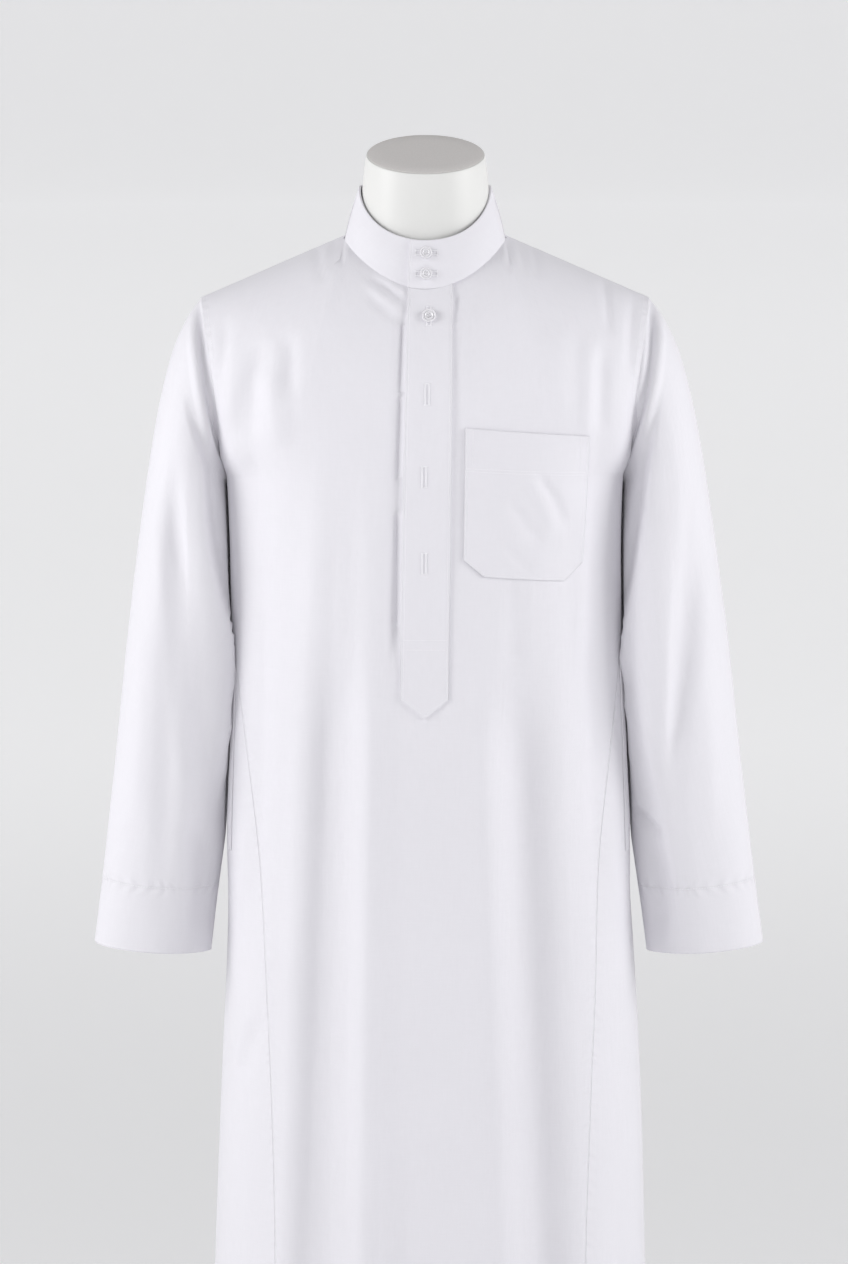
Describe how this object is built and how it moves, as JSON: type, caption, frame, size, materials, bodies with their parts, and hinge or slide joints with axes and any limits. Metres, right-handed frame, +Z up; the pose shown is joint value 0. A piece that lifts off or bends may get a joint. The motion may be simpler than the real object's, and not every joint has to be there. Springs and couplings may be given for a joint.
{
  "type": "thobe robe on a dress form",
  "caption": "Long white thobe robe with a standing collar, a buttoned placket, a chest pocket and plain sleeves, on a limbless dress form and stand.",
  "frame": {"origin": "on the floor, under the middle of the stand's round base", "axes": "+Z up, the front of the garment faces -Y, +X is the wearer's left"},
  "size_m": [0.65, 0.38, 1.6275],
  "materials": {
    "cloth": "fine white cotton and polyester weave with a soft sheen",
    "pearl": "pearly white",
    "form_lacquer": "smooth gloss white",
    "cap_grey": "matte warm grey",
    "steel": "brushed"
  },
  "bodies": {
    "root": {"front_panel": "cloth", "back_panel": "cloth", "side_gore_left": "cloth", "side_gore_right": "cloth", "sleeve_left": "cloth", "sleeve_right": "cloth", "collar_band": "cloth", "placket": "cloth", "chest_pocket": "cloth", "button_collar_top": "pearl", "button_collar_low": "pearl", "button_placket": "pearl", "dress_form": "form_lacquer", "neck_cap": "cap_grey", "stand_pole": "steel", "stand_base": "steel"}
  },
  "joints": []
}
